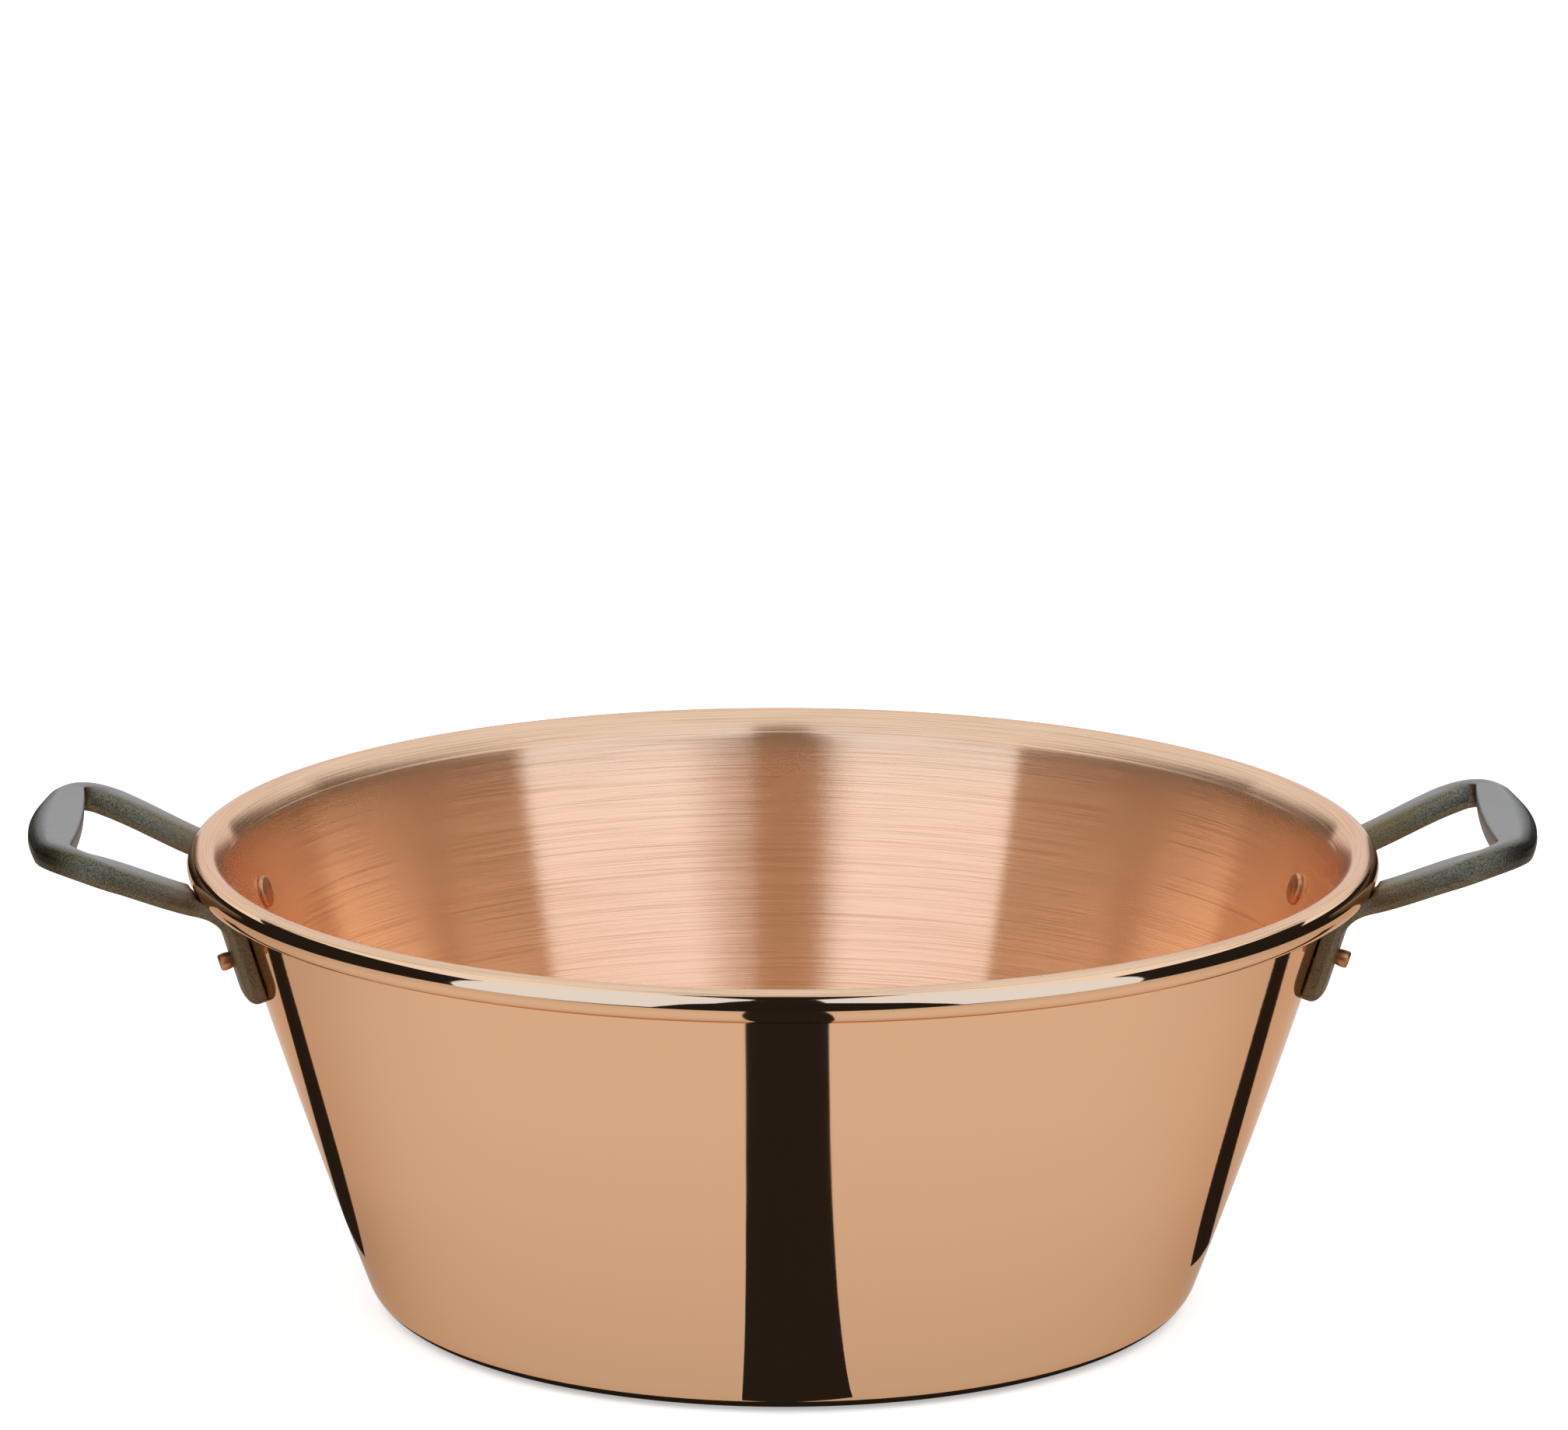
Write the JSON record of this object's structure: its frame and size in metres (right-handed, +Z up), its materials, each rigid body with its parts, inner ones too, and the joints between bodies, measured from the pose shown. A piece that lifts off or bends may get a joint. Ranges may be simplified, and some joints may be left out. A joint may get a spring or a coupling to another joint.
{
  "type": "jam pan",
  "caption": "Wide preserving pan of copper sheet with flared wall, rolled rim and flat base, and upswept cast iron bail handles riveted on opposite sides.",
  "frame": {"origin": "centre of the flat base, on the surface that the pan stands on", "axes": "+Z up along the pan's axis, X through the two handles, +Y to the rear of the pictured view"},
  "size_m": [0.481, 0.38, 0.1596],
  "materials": {
    "copper": "polished outside, brushed inside",
    "cast_iron": "grainy as cast, varnished"
  },
  "bodies": {
    "root": {"pan_body": "copper", "handle_left": "cast_iron", "handle_right": "cast_iron", "rivet_left_front": "copper", "rivet_left_rear": "copper", "rivet_right_front": "copper", "rivet_right_rear": "copper"}
  },
  "joints": []
}
